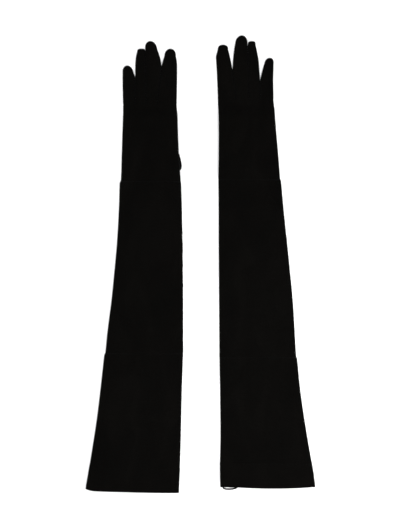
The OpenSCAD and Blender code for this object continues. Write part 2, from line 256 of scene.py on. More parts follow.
class Net:
    """A skin in the making: points, how firmly each is held, and faces with a label (part, row, column)."""

    def __init__(self, side):
        self.side, self.outward = side, OUTWARD[side]
        self.points, self.pinned, self.faces, self.labels = [], [], [], []

    def node(self, piece):
        return f"{self.side}_{piece}"

    def add(self, points, pinned):
        first = len(self.points)
        self.points.extend(points)
        self.pinned.extend(pinned)
        return list(range(first, first + len(points)))

    def face(self, corners, label):
        self.faces.append(corners if self.outward > 0 else corners[::-1])
        self.labels.append(label)

    def band(self, a, b, row, part):
        """A band of quads between two closed rings of points. part may depend on the column."""
        for i in range(len(a)):
            j = (i + 1) % len(a)
            self.face([a[i], a[j], b[j], b[i]], (part(i) if callable(part) else part, row, i))

    def close(self, ring, y, row, part, at_end=True):
        """A fan of triangles from a ring to one point at y, at the end or at the start of the tube."""
        middle = np.mean([self.points[i] for i in ring], axis=0)
        pole = self.add([(middle[0], y, middle[2])], [1.0])[0]
        for i, pair in enumerate(zip(ring, ring[1:] + ring[:1])):
            self.face([*(pair if at_end else pair[::-1]), pole], (part, row, i))

    def oval(self, centre, half, y, middle, height, angles):
        """A rounded ring of points at y, and how far across it each of them stands, from -1 to 1."""
        u, v = rounded(np.cos(angles)), rounded(np.sin(angles))
        u = np.where(u > 0, u / u.max(), u / -u.min())
        return [(centre + self.outward * half * a, y, middle + height / 2 * b) for a, b in zip(u, v)], u


class Glove(Net):
    """The skin of one glove without its thumb."""

    # A finger's end: the power of its curve for a short and for a long rounding, and its height at the tip
    TIP_LENGTHS, TIP_POWERS = (5 * MM, 10 * MM), (3.2, 2.1)
    TIP_HEIGHT = 0.3
    # The cloth is held at the points that stand further across than this
    HELD_FROM = 0.97

    def __init__(self, side):
        super().__init__(side)
        self.elbow = joint_place(self.node("elbow_fold"))[1]
        self.wrist = joint_place(self.node("wrist_fold"))[1]
        self.root = joint_place(self.node("index_fold"))[1]
        self.measure()
        self.build_arm()
        self.build_fingers()

    def measure(self):
        """Outlines of the tubes, and the hem's two corners."""
        sleeve = self.node("upper_sleeve")
        mesh = np.array([v.co for v in frame["nodes"][sleeve].data.vertices])
        self.hem_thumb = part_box(sleeve)[0][1]
        self.hem_outer = mesh[np.argmax(mesh[:, 0] * self.outward), 1]
        edge, gap, tip_edge = 1.0 * MM, 0.3 * MM, 0.1 * MM
        arm_spread, hand_spread, finger_spread = 22 * MM, 6 * MM, 3 * MM

        def outline(pieces, y0, y1, spread):
            return Outline(node_edges(*map(self.node, pieces)), y0, y1, self.outward, spread)

        above_hem = max(self.hem_thumb, self.hem_outer) + edge
        self.upper = outline(["upper_sleeve"], above_hem, self.elbow - gap, arm_spread)
        self.forearm = outline(["forearm_sleeve"], self.elbow + gap, self.wrist - gap, arm_spread)
        self.hand = outline(["hand_trank"], self.wrist + gap, self.root - gap, hand_spread)
        self.finger = {}
        for name in FINGERS:
            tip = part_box(self.node(f"{name}_stall"))[1][1]
            self.finger[name] = outline(
                [f"{name}_stall", f"{name}_fourchettes"], self.root + edge, tip - tip_edge, finger_spread)

    # -------- arm and hand

    def hem_line(self, shares, from_hem):
        """How far the rows near the hem run above their straight line."""
        sag, middle, reach = HEM_SAG[self.side]
        corner = np.maximum(0, 1 - (1 - shares) / HEM_CORNER_SHARE) ** 2
        line = HEM_CORNER[self.side] * corner - sag * np.maximum(0, 1 - ((shares - middle) / reach) ** 2)
        return line * (1 - smoothstep(from_hem / HEM_LINE_FADE))

    def add_ring(
            self, part, edges, height, shares,
            lift=0.0, groove=0.0, power=SECTION_POWER, shift=0.0, to_root=None):
        """One ring round the arm between its edges, given as (x, y). shares says how far across each of its
        columns stands, and shift how far along y it is moved."""
        (thumb_x, thumb_y), (outer_x, outer_y) = edges
        middle = lift * (1 - smoothstep((shares - THUMB_SHARE) / THUMB_FADE)) + height / 2
        inset = groove / abs(outer_x - thumb_x)
        x = lerp(thumb_x - self.outward * EDGE_FULLNESS, outer_x, np.clip(shares, inset, 1 - inset))
        y = lerp(thumb_y, outer_y, shares) + shift
        tall = np.maximum(height * section_height(shares, power) - groove, 0)
        ring = [(x[j], y[j], middle[j] + tall[j]) for j in range(ACROSS + 1)]
        ring += [(x[j], y[j], middle[j] - tall[j]) for j in range(ACROSS - 1, 0, -1)]
        if to_root is not None:
            self.lean_to_fingers(ring, to_root)
        self.rings.append(self.add(ring, [1.0 if j in (0, ACROSS) else 0.0 for j in range(AROUND)]))
        self.ring_part.append(part)

    def finger_shares(self):
        """How far across the hand each column stands at the fingers' roots."""
        fingers = [self.finger[name] for name in FINGERS]
        between = [(a.outer_edge[0] + b.thumb_edge[0]) / 2 for a, b in zip(fingers, fingers[1:])]
        first, last = fingers[0].thumb_edge[0], fingers[-1].outer_edge[0]
        ends = (np.array([first, *between, last]) - first) / (last - first)
        return np.interp(np.arange(ACROSS + 1), np.arange(len(ends)) * PER_FINGER, ends)

    def build_arm(self):
        even = crowded(np.linspace(0, 1, ACROSS + 1))
        full = self.upper.high.max()
        self.rings, self.ring_part = [], []

        length = self.elbow - self.hem_thumb
        rows = stations(length, HEM_ROWS, SEAM_ROWS, ROW_STEP)
        rows = with_rows(rows, FACING + FACING_FADE * np.array([-1, 0, 1]), 0.4 * ROW_STEP)
        self.facing_rows = int(np.searchsorted(rows, FACING, "right")) - 1
        for d in rows:
            t = d / length
            closed = smoothstep(d / MOUTH_LENGTH)
            flat, power = lerp(1.0, FLATNESS, closed), lerp(MOUTH_POWER, SECTION_POWER, closed)
            edges = self.upper.edges(lerp(self.hem_thumb, self.elbow, t), lerp(self.hem_outer, self.elbow, t))
            self.add_ring(
                "upper", edges, full * flat, even,
                groove=SEAM_GROOVE if t == 1 else 0, power=power, shift=self.hem_line(even, d))
        self.elbow_row = len(self.rings) - 1

        length = self.wrist - self.elbow
        for d in stations(length, SEAM_ROWS, SEAM_ROWS, ROW_STEP)[1:]:
            half = "forearm_lower" if d <= length / 2 else "forearm_upper"
            edges = self.forearm.edges(self.elbow + d, self.elbow + d)
            self.add_ring(half, edges, full * FLATNESS, even, groove=SEAM_GROOVE if d == length else 0)
        self.wrist_row = len(self.rings) - 1

        # The hand's columns draw together into the fingers
        length = self.root - self.wrist
        at_root = self.finger_shares()
        for d in stations(length, SEAM_ROWS, ROOT_ROWS, ROW_STEP)[1:]:
            y = self.wrist + d
            lift = self.hand.at(y, self.hand.low)
            height = self.hand.at(y, self.hand.high) - lift
            shares = lerp(even, at_root, smoothstep(d / length))
            self.add_ring(
                "hand", self.hand.edges(y, y), height * FLATNESS, shares, lift=lift, to_root=length - d)

        for k in range(1, len(self.rings)):
            self.band(self.rings[k - 1], self.rings[k], k, self.ring_part[k])

    def lean_to_fingers(self, ring, to_root):
        """Near the fingers' roots the hand's section turns into four fingers side by side."""
        most, reach, past_root = 0.7, 16 * MM, 1.2 * MM
        share = most * (1 - smoothstep(to_root / reach))
        if share <= 0:
            return
        found = {}
        for f in range(len(FINGERS)):
            for place, point in zip(finger_layout(f)[1], self.finger_ring(f, self.root + past_root)[0]):
                found.setdefault(place, []).append(point)
        found.pop(None)
        for place, points in found.items():
            new = lerp(np.array(ring[place]), np.mean(points, axis=0), share)
            ring[place] = (new[0], ring[place][1], new[2])

    # -------- fingers

    def finger_tip(self, name):
        """Where the finger ends, and where it starts to round off."""
        o, level = self.finger[name], 0.05 * MM
        return o.ys[-1], o.ys[o.high > o.high.max() - level].max()

    def swelling(self, f, y, side):
        """How far finger f's edge swells out at y, on its thumb side (-1) or outer side (1)."""
        beside = f + side
        if not 0 <= beside < len(FINGERS) or y >= self.finger[FINGERS[beside]].ys[-1]:
            return EDGE_FULLNESS
        one, other = (self.finger[FINGERS[k]] for k in sorted((f, beside)))
        gap = (other.at(y, other.thumb_edge) - one.at(y, one.outer_edge)) * self.outward
        return np.interp(gap, *np.array(SWELLING).T)

    def finger_ring(self, f, y):
        """Finger f's ring of points at y, and how firmly each is held."""
        o = self.finger[FINGERS[f]]
        tip, pad = self.finger_tip(FINGERS[f])
        full = height = o.high.max() * FLATNESS
        full_at = min(y, pad)
        thumb, outer = (
            o.at(full_at, edge) + side * self.outward * self.swelling(f, full_at, side)
            for edge, side in ((o.thumb_edge, -1), (o.outer_edge, 1)))
        centre, half = (thumb + outer) / 2, abs(outer - thumb) / 2
        if y > pad:
            t = (y - pad) / (tip - pad)
            power = np.interp(tip - pad, self.TIP_LENGTHS, self.TIP_POWERS)
            shrink = max(0.0, 1 - t ** power) ** (1 / power)
            centre = lerp(centre, (o.outer_edge[-1] + o.thumb_edge[-1]) / 2, t)
            half *= shrink
            height *= lerp(self.TIP_HEIGHT, 1, shrink)
        points, across = self.oval(centre, half, y, full / 2, height, finger_layout(f)[0])
        return points, [1.0 if abs(a) > self.HELD_FROM or y > pad else 0.0 for a in across]

    def build_fingers(self):
        root_ring = self.rings[-1]
        self.finger_rings = {}
        webs = [[]]
        for k in range(PER_FINGER, ACROSS, PER_FINGER):
            top, bottom = (np.array(self.points[root_ring[i]]) for i in (k, AROUND - k))
            webs.append(self.add([tuple(lerp(top, bottom, t)) for t in (1 / 3, 2 / 3)], [0.0, 0.0]))
        webs.append([])
        for f, name in enumerate(FINGERS):
            tip, pad = self.finger_tip(name)
            places = finger_layout(f)[1]
            walls = iter(webs[f + 1] + webs[f][::-1])
            ring = [next(walls) if place is None else root_ring[place] for place in places]
            self.finger_rings[name] = [ring]
            rows = np.concatenate([
                self.root + stations(pad - self.root, ROOT_ROWS[1:], (0,), FINGER_STEP),
                pad + (tip - pad) * np.array(TIP_ROWS)])
            wall_end = lerp(self.root, tip, WALL_END)
            for row, y in enumerate(rows):
                new = self.add(*self.finger_ring(f, y))

                def part(i, y=y):
                    on_wall = None in (places[i], places[(i + 1) % len(places)])
                    return f"{name}_fourchettes" if on_wall and y < wall_end else f"{name}_stall"

                self.band(ring, new, row, part)
                ring = new
                self.finger_rings[name].append(ring)
            self.close(ring, tip, len(rows), f"{name}_stall")


class Thumb(Net):
    """A thumb's skin: a flat pocket closed at both ends, made along +Y and then turned into place."""

    ROUNDING = 4.0 * MM
    ROUNDING_POWER = 2.3
    END_ROWS = np.array([0.1, 0.4, 1.0, 2.2, 4.0]) * MM
    TIP_HEIGHT = 0.35
    HELD_FROM = 0.985

    def __init__(self, side):
        super().__init__(side)
        edges = node_edges(self.node("thumb_stall"))
        self.pivot = np.array(joint_place(self.node("thumb_swing")))
        away = np.linalg.norm((edges - self.pivot)[..., :2], axis=2)
        tip = edges[away > away.max() - 1 * MM].mean(axis=0) - self.pivot
        ax, ay = tip[:2] / np.linalg.norm(tip[:2])
        turn = np.array([[ay, -ax, 0], [ax, ay, 0], [0, 0, 1]])
        local = (edges - self.pivot) @ turn.T
        self.low, self.high = local[..., 1].min(), local[..., 1].max()
        edge, spread = 0.05 * MM, 3 * MM
        self.outline = Outline(local, self.low + edge, self.high - edge, self.outward, spread)
        self.build()
        self.points = [tuple(np.array(p) @ turn + self.pivot) for p in self.points]

    def ring(self, y):
        o, power = self.outline, self.ROUNDING_POWER
        t = 1 - min(1.0, (y - self.low) / self.ROUNDING, (self.high - y) / self.ROUNDING)
        shrink = (1 - t ** power) ** (1 / power)
        thumb, outer = o.at(y, o.thumb_edge), o.at(y, o.outer_edge)
        half = (abs(outer - thumb) / 2 + EDGE_FULLNESS) * shrink
        full = o.high.max() * THUMB_FLATNESS
        angles = np.pi - 2 * np.pi * np.arange(THUMB_AROUND) / THUMB_AROUND
        height = full * lerp(self.TIP_HEIGHT, 1, shrink)
        points, across = self.oval((thumb + outer) / 2, half, y, full / 2 + CLEAR_OF_FLOOR, height, angles)
        return self.add(points, [1.0 if abs(a) > self.HELD_FROM or t > 0 else 0.0 for a in across])

    def build(self):
        rows = self.low + stations(self.high - self.low, self.END_ROWS, self.END_ROWS, FINGER_STEP)
        self.rings = [self.ring(y) for y in rows]
        for k in range(1, len(self.rings)):
            self.band(self.rings[k - 1], self.rings[k], k, "thumb")
        self.close(self.rings[0], self.low, 0, "thumb", at_end=False)
        self.close(self.rings[-1], self.high, len(self.rings), "thumb")


# ---- cloth


def mesh_object(name, points, faces):
    mesh = bpy.data.meshes.new(name)
    mesh.from_pydata([tuple(p) for p in points], [], faces)
    obj = bpy.data.objects.new(name, mesh)
    bpy.context.scene.collection.objects.link(obj)
    return obj


def settled(net, frames=24):
    """The net's points, run as soft leather a little too big for its outline, so that it wrinkles by
    itself."""
    rest = np.array(net.points)
    start = rest.copy()
    seed = 3.0 if net.side == "left" else 11.0
    ripple, ripple_x, ripple_y = 0.9 * MM, 0.055, 0.035
    for i, p in enumerate(rest):
        if net.pinned[i] < 1:
            start[i, 2] += ripple * noise.noise(Vector((p[0] / ripple_x, p[1] / ripple_y, seed)))
    obj = mesh_object("skin", start, net.faces)
    pin = obj.vertex_groups.new(name="pin")
    pin.add([i for i, held in enumerate(net.pinned) if held], 1.0, "REPLACE")
    cloth = obj.modifiers.new("Cloth", "CLOTH")
    s = cloth.settings
    s.quality = 6
    s.mass = 0.3
    s.tension_stiffness = s.compression_stiffness = 40
    s.shear_stiffness = 20
    s.bending_stiffness = 1.2
    s.tension_damping = s.compression_damping = s.shear_damping = 10
    s.bending_damping = 2
    s.air_damping = 4
    s.vertex_group_mass = "pin"
    s.shrink_min = -0.014
    s.use_pressure = True
    s.uniform_pressure_force = 0.25
    s.effector_weights.gravity = 0
    cloth.collision_settings.use_collision = False
    cloth.collision_settings.use_self_collision = False
    cloth.point_cache.frame_end = frames
    scene = bpy.context.scene
    scene.frame_start, scene.frame_end = 1, frames
    for k in range(1, frames + 1):
        scene.frame_set(k)
    done = obj.evaluated_get(bpy.context.evaluated_depsgraph_get())
    out = np.array([v.co for v in done.data.vertices])
    bpy.data.objects.remove(obj)
    scene.frame_set(1)
    return limited(rest, out, net.faces)


def limited(rest, out, faces):
    """Simulated points, kept from moving too far, too far inwards or into the floor."""
    furthest, furthest_in = 2.6 * MM, 0.5 * MM
    moved = out - rest
    length = np.linalg.norm(moved, axis=1)
    moved *= np.minimum(1, furthest / np.maximum(length, 1e-9))[:, None]
    normals = point_normals(rest, faces)
    inwards = np.minimum(0, (moved * normals).sum(axis=1) + furthest_in)
    moved -= inwards[:, None] * normals
    return off_floor(rest + moved)


def off_floor(points, lowest=CLEAR_OF_FLOOR):
    points[:, 2] = np.maximum(points[:, 2], lowest)
    return points


# ---- the finished skin


def unit(vectors):
    return vectors / np.maximum(np.linalg.norm(vectors, axis=-1, keepdims=True), 1e-12)


def point_normals(points, faces):
    """Outward normals at the points, weighted by the areas of the faces round them."""
    total = np.zeros_like(points)
    for corners in (3, 4):
        group = np.array([face for face in faces if len(face) == corners])
        if len(group):
            p = points[group]
            normal = np.cross(p[:, 2] - p[:, 0], p[:, -1] - p[:, 1])
            for k in range(corners):
                np.add.at(total, group[:, k], normal)
    return unit(total)


def relief(glove, points):
    """What the sewing does to the skin: a step past the hem's facing, and puckers along the seams."""
    normals = point_normals(points, glove.faces)
    first = points[glove.rings[0]]
    hem = np.array([first[0, :2], first[ACROSS, :2]]).T * [[glove.outward], [1]]
    from_hem = points[:, 1] - np.interp(points[:, 0] * glove.outward, *hem)
    raised = FACING_STEP * (1 - smoothstep((from_hem - FACING + FACING_FADE) / (2 * FACING_FADE)))
    pucker, reach, peak, spread = 0.28 * MM, 12 * MM, 2.4 * MM, 3.5 * MM
    size_x, size_y, size_z = 0.005, 0.012, 0.004
    for i, (x, y, z) in enumerate(points):
        for seam in (glove.elbow, glove.wrist):
            d = abs(y - seam)
            if d < reach:
                near = math.exp(-((d - peak) / spread) ** 2)
                raised[i] += pucker * near * noise.noise(Vector((x / size_x, y / size_y, z / size_z)))
    return off_floor(points + normals * raised[:, None])


class Skin:
    """Finished points with their outward normals, and labelled faces, from which pieces are cut."""

    def __init__(self, points, net):
        self.points, self.faces, self.labels = points, net.faces, net.labels
        self.normals = point_normals(points, net.faces)
        self.opened = set()

    def pick(self, parts, rows=None, columns=None):
        """The faces of these parts, rows and columns that no hole has taken out."""
        return [
            face for k, (face, (part, row, column)) in enumerate(zip(self.faces, self.labels))
            if k not in self.opened and part in parts
            and (rows is None or row in rows) and (columns is None or column in columns)]

    def punch(self, centre, radius, upwards):
        """Opens a round hole in the side that looks up or down, and returns its rim by angle: angles, z."""
        sign, facing = 1 if upwards else -1, 0.25
        inside = set()
        for k, face in enumerate(self.faces):
            x, y = (self.points[face].mean(axis=0) - centre)[:2]
            if math.hypot(x, y) < radius and self.normals[face].mean(axis=0)[2] * sign > facing:
                inside.add(k)
        kept = {i for k, face in enumerate(self.faces) if k not in inside for i in face}
        rim = sorted({i for k in inside for i in self.faces[k]} & kept)
        away = self.points[rim, :2] - centre[:2]
        self.points[rim, :2] = centre[:2] + unit(away) * radius
        self.opened |= inside
        angles = np.arctan2(away[:, 1], away[:, 0])
        order = np.argsort(angles)
        return angles[order], self.points[rim, 2][order]


class Surface:
    """Places on a stack of a skin's rings: any column at any y."""

    def __init__(self, skin, rings):
        rings = np.array(rings)
        self.points, self.normals = skin.points[rings], skin.normals[rings]

    def at(self, column, ys):
        """Points and normals at these y on one column, which may lie between two."""
        low = int(math.floor(column))
        n = self.points.shape[1]
        mixed = [lerp(v[:, low % n], v[:, (low + 1) % n], column - low) for v in (self.points, self.normals)]
        order = mixed[0][:, 1]
        points, normals = (
            np.stack([np.interp(ys, order, v[:, k]) for k in range(3)], axis=1) for v in mixed)
        return points, unit(normals)


# ---- meshes


class Build:
    """A mesh in the making, from closed parts. A corner whose normal is zero gets the mesh's own."""

    def __init__(self):
        self.points, self.faces, self.normals, self.slots = [], [], [], []

    def add(self, points, faces, normals=None, slot=0):
        first = len(self.points)
        self.points.extend(points)
        self.faces.extend([first + i for i in face] for face in faces)
        self.normals.extend(normals or [[(0, 0, 0)] * len(face) for face in faces])
        self.slots.extend([slot] * len(faces))

    def shell(self, skin, faces, depths):
        """A closed shell between two depths below some of a skin's faces."""
        used = sorted({i for face in faces for i in face})
        place = {i: k for k, i in enumerate(used)}
        n = len(used)
        outer = [[place[i] for i in face] for face in faces]
        inner = [[i + n for i in face[::-1]] for face in outer]
        edges = {edge for face in outer for edge in zip(face, face[1:] + face[:1])}
        rims = [[b, a, a + n, b + n] for a, b in sorted(edges) if (b, a) not in edges]
        normals = skin.normals[used]
        points = np.concatenate([skin.points[used] - normals * depth for depth in depths])
        normals = np.concatenate([normals, -normals])
        corners = [[tuple(normals[i]) for i in face] for face in outer + inner]
        for rim in rims:
            p = points[rim]
            corners.append([tuple(unit(np.cross(p[2] - p[0], p[3] - p[1])))] * 4)
        self.add(points, outer + inner + rims, corners)

    def thread(self, path, up, radius, sides=6, slot=0):
        """A closed tube along a path, above the floor. up is a direction across it, or one for each point."""
        path = off_floor(np.array(path), radius)
        along = unit(np.gradient(path, axis=0))
        across = unit(np.cross(along, np.broadcast_to(up, path.shape)))
        lift = np.cross(across, along)
        turns = 2 * np.pi * np.arange(sides) / sides
        ring = np.cos(turns)[None, :, None] * across[:, None] + np.sin(turns)[None, :, None] * lift[:, None]
        points = (path[:, None] + radius * ring).reshape(-1, 3)
        faces = []
        for a in range(0, len(points) - sides, sides):
            b = a + sides
            faces += [[a + i, b + i, b + (i + 1) % sides, a + (i + 1) % sides] for i in range(sides)]
        faces += [range(sides), range(len(points) - 1, len(points) - sides - 1, -1)]
        self.add(points, faces, slot=slot)

    def piece(self, name, *materials):
        obj = mesh_object(name, self.points, self.faces)
        mesh = obj.data
        mesh.polygons.foreach_set("material_index", self.slots)
        mesh.polygons.foreach_set("use_smooth", [True] * len(self.faces))
        for material in materials:
            mesh.materials.append(material)
        mesh.normals_split_custom_set([normal for face in self.normals for normal in face])
        return obj


# ---- sewing

# Radius of the sewing thread, the distance from stitch to stitch, and radii of the two kinds of ridge
THREAD = 0.22 * MM
PITCH = 3.2 * MM
WELT = 0.5 * MM
RIDGE = 0.34 * MM
# How deep the ends of a stitch lie below the leather
SUNK = 0.3 * MM
# The material slot of the thread, on a piece whose first material is leather
THREAD_SLOT = 1


def whip_stitches(build, surface, columns, ys, slant):
    """Stitches over a seam, each from one side of its edge to the other. columns are the one before, the
    edge, and the one after."""
    before, edge, after = columns
    reach = 1.3 * MM
    points, normals = surface.at(edge, ys)
    near, far = surface.at(before, ys - slant)[0], surface.at(after, ys + slant)[0]
    for e, b, a, n in zip(points, near, far, normals):
        one, two = e + unit(b - e) * reach, e + unit(a - e) * reach
        start, end = e + unit(b - e) * (reach + SUNK), e + unit(a - e) * (reach + SUNK)
        path = [start - n * SUNK, one + n * THREAD, e + n * 1.6 * THREAD, two + n * THREAD, end - n * SUNK]
        build.thread(path, n, THREAD, slot=THREAD_SLOT)


def sewn_edge(build, surface, columns, y0, y1):
    """A raised seam with whip stitches over it."""
    lead = 0.6 * MM
    points, normals = surface.at(columns[1], np.arange(y0 + lead, y1 - lead, PITCH / 2))
    build.thread(points - normals * WELT / 2, normals, WELT, sides=8)
    ys = np.arange(y0 + PITCH / 2, y1 - PITCH / 2, PITCH)
    whip_stitches(build, surface, columns, ys, slant=0.55 * MM)


def sewn_corner(build, surface, columns, y0, y1):
    """The seam of a finger's side wall: a fine ridge along the corner with small whip stitches."""
    lead, depth, first, last = 0.8 * MM, 0.7, 2 * MM, 1 * MM
    points, normals = surface.at(columns[1], np.arange(y0 + lead, y1, PITCH / 2))
    build.thread(points - normals * RIDGE * depth, normals, RIDGE)
    ys = np.arange(y0 + first, y1 - last, 0.8 * PITCH)
    whip_stitches(build, surface, columns, ys, slant=0.4 * MM)


def stitches_across(build, surface, y):
    """Small stitches all the way round that bridge the groove of a cross seam."""
    half = 0.75 * MM
    for column in np.arange(0.5, AROUND, 1.0):
        points, normals = surface.at(column, y + np.array([-half - SUNK, -half, 0, half, half + SUNK]))
        lifts = np.array([-SUNK, THREAD, 1.2 * THREAD, THREAD, -SUNK])
        build.thread(points + normals * lifts[:, None], normals, THREAD, slot=THREAD_SLOT)


def hem_stitches(build, surface, glove):
    """Small stitches in a row that hold the top of the facing."""
    below_top = 2.6 * MM
    for column in np.arange(1.5, AROUND, 2.0):
        if abs(column - ACROSS) < 2:
            continue
        share = column if column <= ACROSS else AROUND - column
        y = lerp(glove.hem_thumb, glove.hem_outer, share / ACROSS) + FACING - below_top
        path, normals = [], []
        for step, lift in ((-0.24, -1.2), (-0.14, 0.5), (0.14, 0.5), (0.24, -1.2)):
            p, n = surface.at(column + step, [y])
            path.append(p[0] + n[0] * lift * THREAD)
            normals.append(n[0])
        build.thread(path, np.array(normals), 0.8 * THREAD, slot=THREAD_SLOT)


# ---- materials


def node_material(name, colour, roughness, specular):
    """A new material, with its node tree to add to and its Principled node."""
    material = bpy.data.materials.new(name)
    material.use_nodes = True
    shader = material.node_tree.nodes["Principled BSDF"]
    shader.inputs["Base Color"].default_value = (*colour, 1)
    shader.inputs["Roughness"].default_value = roughness
    shader.inputs["Specular IOR Level"].default_value = specular
    return material, material.node_tree, shader


def texture(tree, kind, scale, detail, stretch=(1, 1, 1), distortion=0.0):
    """A noise or wave texture over object space, in repeats per metre, and stretched where asked."""
    coords = tree.nodes.new("ShaderNodeTexCoord")
    mapping = tree.nodes.new("ShaderNodeMapping")
    mapping.inputs["Scale"].default_value = stretch
    node = tree.nodes.new(f"ShaderNodeTex{kind}")
    node.inputs["Scale"].default_value = scale
    node.inputs["Detail"].default_value = detail
    node.inputs["Distortion"].default_value = distortion
    tree.links.new(coords.outputs["Object"], mapping.inputs["Vector"])
    tree.links.new(mapping.outputs["Vector"], node.inputs["Vector"])
    return node


def ramp(tree, source, *stops):
    """A colour ramp over a texture's value. stops are (place, grey or colour)."""
    node = tree.nodes.new("ShaderNodeValToRGB")
    elements = node.color_ramp.elements
    while len(elements) < len(stops):
        elements.new(0.5)
    for element, (place, colour) in zip(elements, stops):
        element.position = place
        element.color = (*np.broadcast_to(colour, 3), 1)
    tree.links.new(source.outputs[0], node.inputs["Fac"])
    return node.outputs[0]


def multiplied(tree, a, b):
    node = tree.nodes.new("ShaderNodeMix")
    node.data_type = "RGBA"
    node.blend_type = "MULTIPLY"
    node.inputs["Factor"].default_value = 1.0
    tree.links.new(a, node.inputs[6])
    tree.links.new(b, node.inputs[7])
    return node.outputs[2]


def bumps(tree, shader, *layers):
    """Bump nodes in a chain. Each layer is (height node, strength, distance)."""
    into = shader
    for source, strength, distance in reversed(layers):
        node = tree.nodes.new("ShaderNodeBump")
        node.inputs["Strength"].default_value = strength
        node.inputs["Distance"].default_value = distance
        tree.links.new(source.outputs[0], node.inputs["Height"])
        tree.links.new(node.outputs["Normal"], into.inputs["Normal"])
        into = node


def suede_material():
    """Black kid suede: a short nap that lies in soft brushed patches, and a fine fibre."""
    material, tree, shader = node_material("suede", (0.003, 0.003, 0.003), 0.95, 0.03)
    shader.inputs["Sheen Weight"].default_value = 0.022
    shader.inputs["Sheen Roughness"].default_value = 0.4
    shader.inputs["Sheen Tint"].default_value = (0.95, 0.93, 0.92, 1)
    dark, middle, light = (0.0011, 0.001, 0.00085), (0.0014, 0.00125, 0.00105), (0.0018, 0.0016, 0.00135)
    nap = texture(tree, "Noise", 26, 5, (1.0, 0.45, 1.0), 0.8)
    brushed = ramp(tree, nap, (0.3, dark), (0.52, middle), (0.72, light))
    fibre = texture(tree, "Noise", 1400, 3, (1.0, 0.35, 1.0))
    tips = ramp(tree, fibre, (0.25, 0.62), (0.55, 1.0), (0.8, 1.45))
    tree.links.new(multiplied(tree, brushed, tips), shader.inputs["Base Color"])
    grain = texture(tree, "Noise", 260, 3)
    bumps(tree, shader, (grain, 0.25, 0.4 * MM), (fibre, 0.6, 0.15 * MM))
    return material


def silk_material():
    """Black silk lining, woven as a fine twill."""
    material, tree, shader = node_material("silk", (0.004, 0.004, 0.0042), 0.5, 0.2)
    shader.inputs["Sheen Weight"].default_value = 0.03
    wave = texture(tree, "Wave", 420, 2, distortion=0.6)
    wave.bands_direction = "DIAGONAL"
    colour = ramp(tree, wave, (0.0, (0.0025, 0.0025, 0.0027)), (1.0, (0.006, 0.006, 0.0064)))
    tree.links.new(colour, shader.inputs["Base Color"])
    bumps(tree, shader, (wave, 0.35, 0.1 * MM))
    return material


def thread_material():
    """Black polyester thread, twisted, with a little shine."""
    material, tree, shader = node_material("thread", (0.002, 0.002, 0.002), 0.6, 0.06)
    twist = texture(tree, "Noise", 2600, 2, (1.0, 1.0, 0.3))
    tree.links.new(ramp(tree, twist, (0.3, 0.0013), (0.7, 0.0028)), shader.inputs["Base Color"])
    bumps(tree, shader, (twist, 0.5, 0.08 * MM))
    return material


def loop_material():
    """The thin black leather of the hanging loop, smoother than the suede."""
    material, tree, shader = node_material("loop leather", (0.004, 0.004, 0.004), 0.6, 0.15)
    pores = texture(tree, "Noise", 1800, 4)
    tree.links.new(ramp(tree, pores, (0.3, 0.0028), (0.7, 0.0056)), shader.inputs["Base Color"])
    bumps(tree, shader, (pores, 0.4, 0.1 * MM))
    return material


SUEDE, SILK, THREADS, LOOP = suede_material(), silk_material(), thread_material(), loop_material()

# ---- camera, stage and light


def make_camera():
    """Straight down from far away, with the fingertips at the top of the picture."""
    height, view_length, glove_top = 3.0, 0.792, 0.006
    data = bpy.data.cameras.new("camera")
    data.sensor_width = 36
    data.lens = data.sensor_width * (height - glove_top) / view_length
    camera = bpy.data.objects.new("camera", data)
    camera.location = (-0.7 * MM, -0.2 * MM, height)
    bpy.context.scene.collection.objects.link(camera)
    bpy.context.scene.camera = camera


def make_stage():
    """A white floor, lit so brightly that only the deepest shadows show on it."""
    half = 4.0
    corners = [(-half, -half, 0), (half, -half, 0), (half, half, 0), (-half, half, 0)]
    floor = mesh_object("floor", corners, [[0, 1, 2, 3]])
    floor.data.materials.append(node_material("floor", (0.9, 0.9, 0.9), 1.0, 0.0)[0])


def area_light(name, place, target, size, power):
    data = bpy.data.lights.new(name, "AREA")
    data.shape = "DISK"
    data.size = size
    data.energy = power
    lamp = bpy.data.objects.new(name, data)
    lamp.location = place
    lamp.rotation_mode = "QUATERNION"
    lamp.rotation_quaternion = (Vector(target) - Vector(place)).to_track_quat("-Z", "Y")
    bpy.context.scene.collection.objects.link(lamp)


def make_light():
    """A wide soft light overhead, with a key and a fill beside it and a small lamp by the right cuff."""
    area_light("overhead", (0, 0, 3.4), (0, 0, 0), 2.2, 105)
    area_light("key", (0.75, -1.3, 1.7), (0.05, -0.2, 0), 1.1, 14)
    area_light("fill", (-1.1, 0.9, 1.9), (0, 0.05, 0), 1.6, 8)
    area_light("cuff", (0.26, -0.3, 0.6), (0.1, -0.21, 0), 0.25, 2.2)
    world = bpy.data.worlds.new("room")
    world.use_nodes = True
    background = world.node_tree.nodes["Background"]
    background.inputs["Color"].default_value = (0.98, 0.99, 1.0, 1)
    background.inputs["Strength"].default_value = 0.3
    bpy.context.scene.world = world
    bpy.context.scene.view_settings.view_transform = "Standard"


# ---- the hanging loop

LOOP_DIAMETER = 2.4 * MM
LOOP_ROUTE = np.array([
    (35.5, -329.5, 4.5), (35.2, -333, 4.5), (34.6, -335.4, 4.2), (35, -337, 3.1), (37.2, -338, 2),
    (40.8, -338.4, 1.35), (45.5, -338.3, 1.3), (50, -337.7, 1.6), (53.6, -336.5, 2.5),
    (55.1, -334.4, 2.9), (55.4, -329.5, 2.9)]) * MM


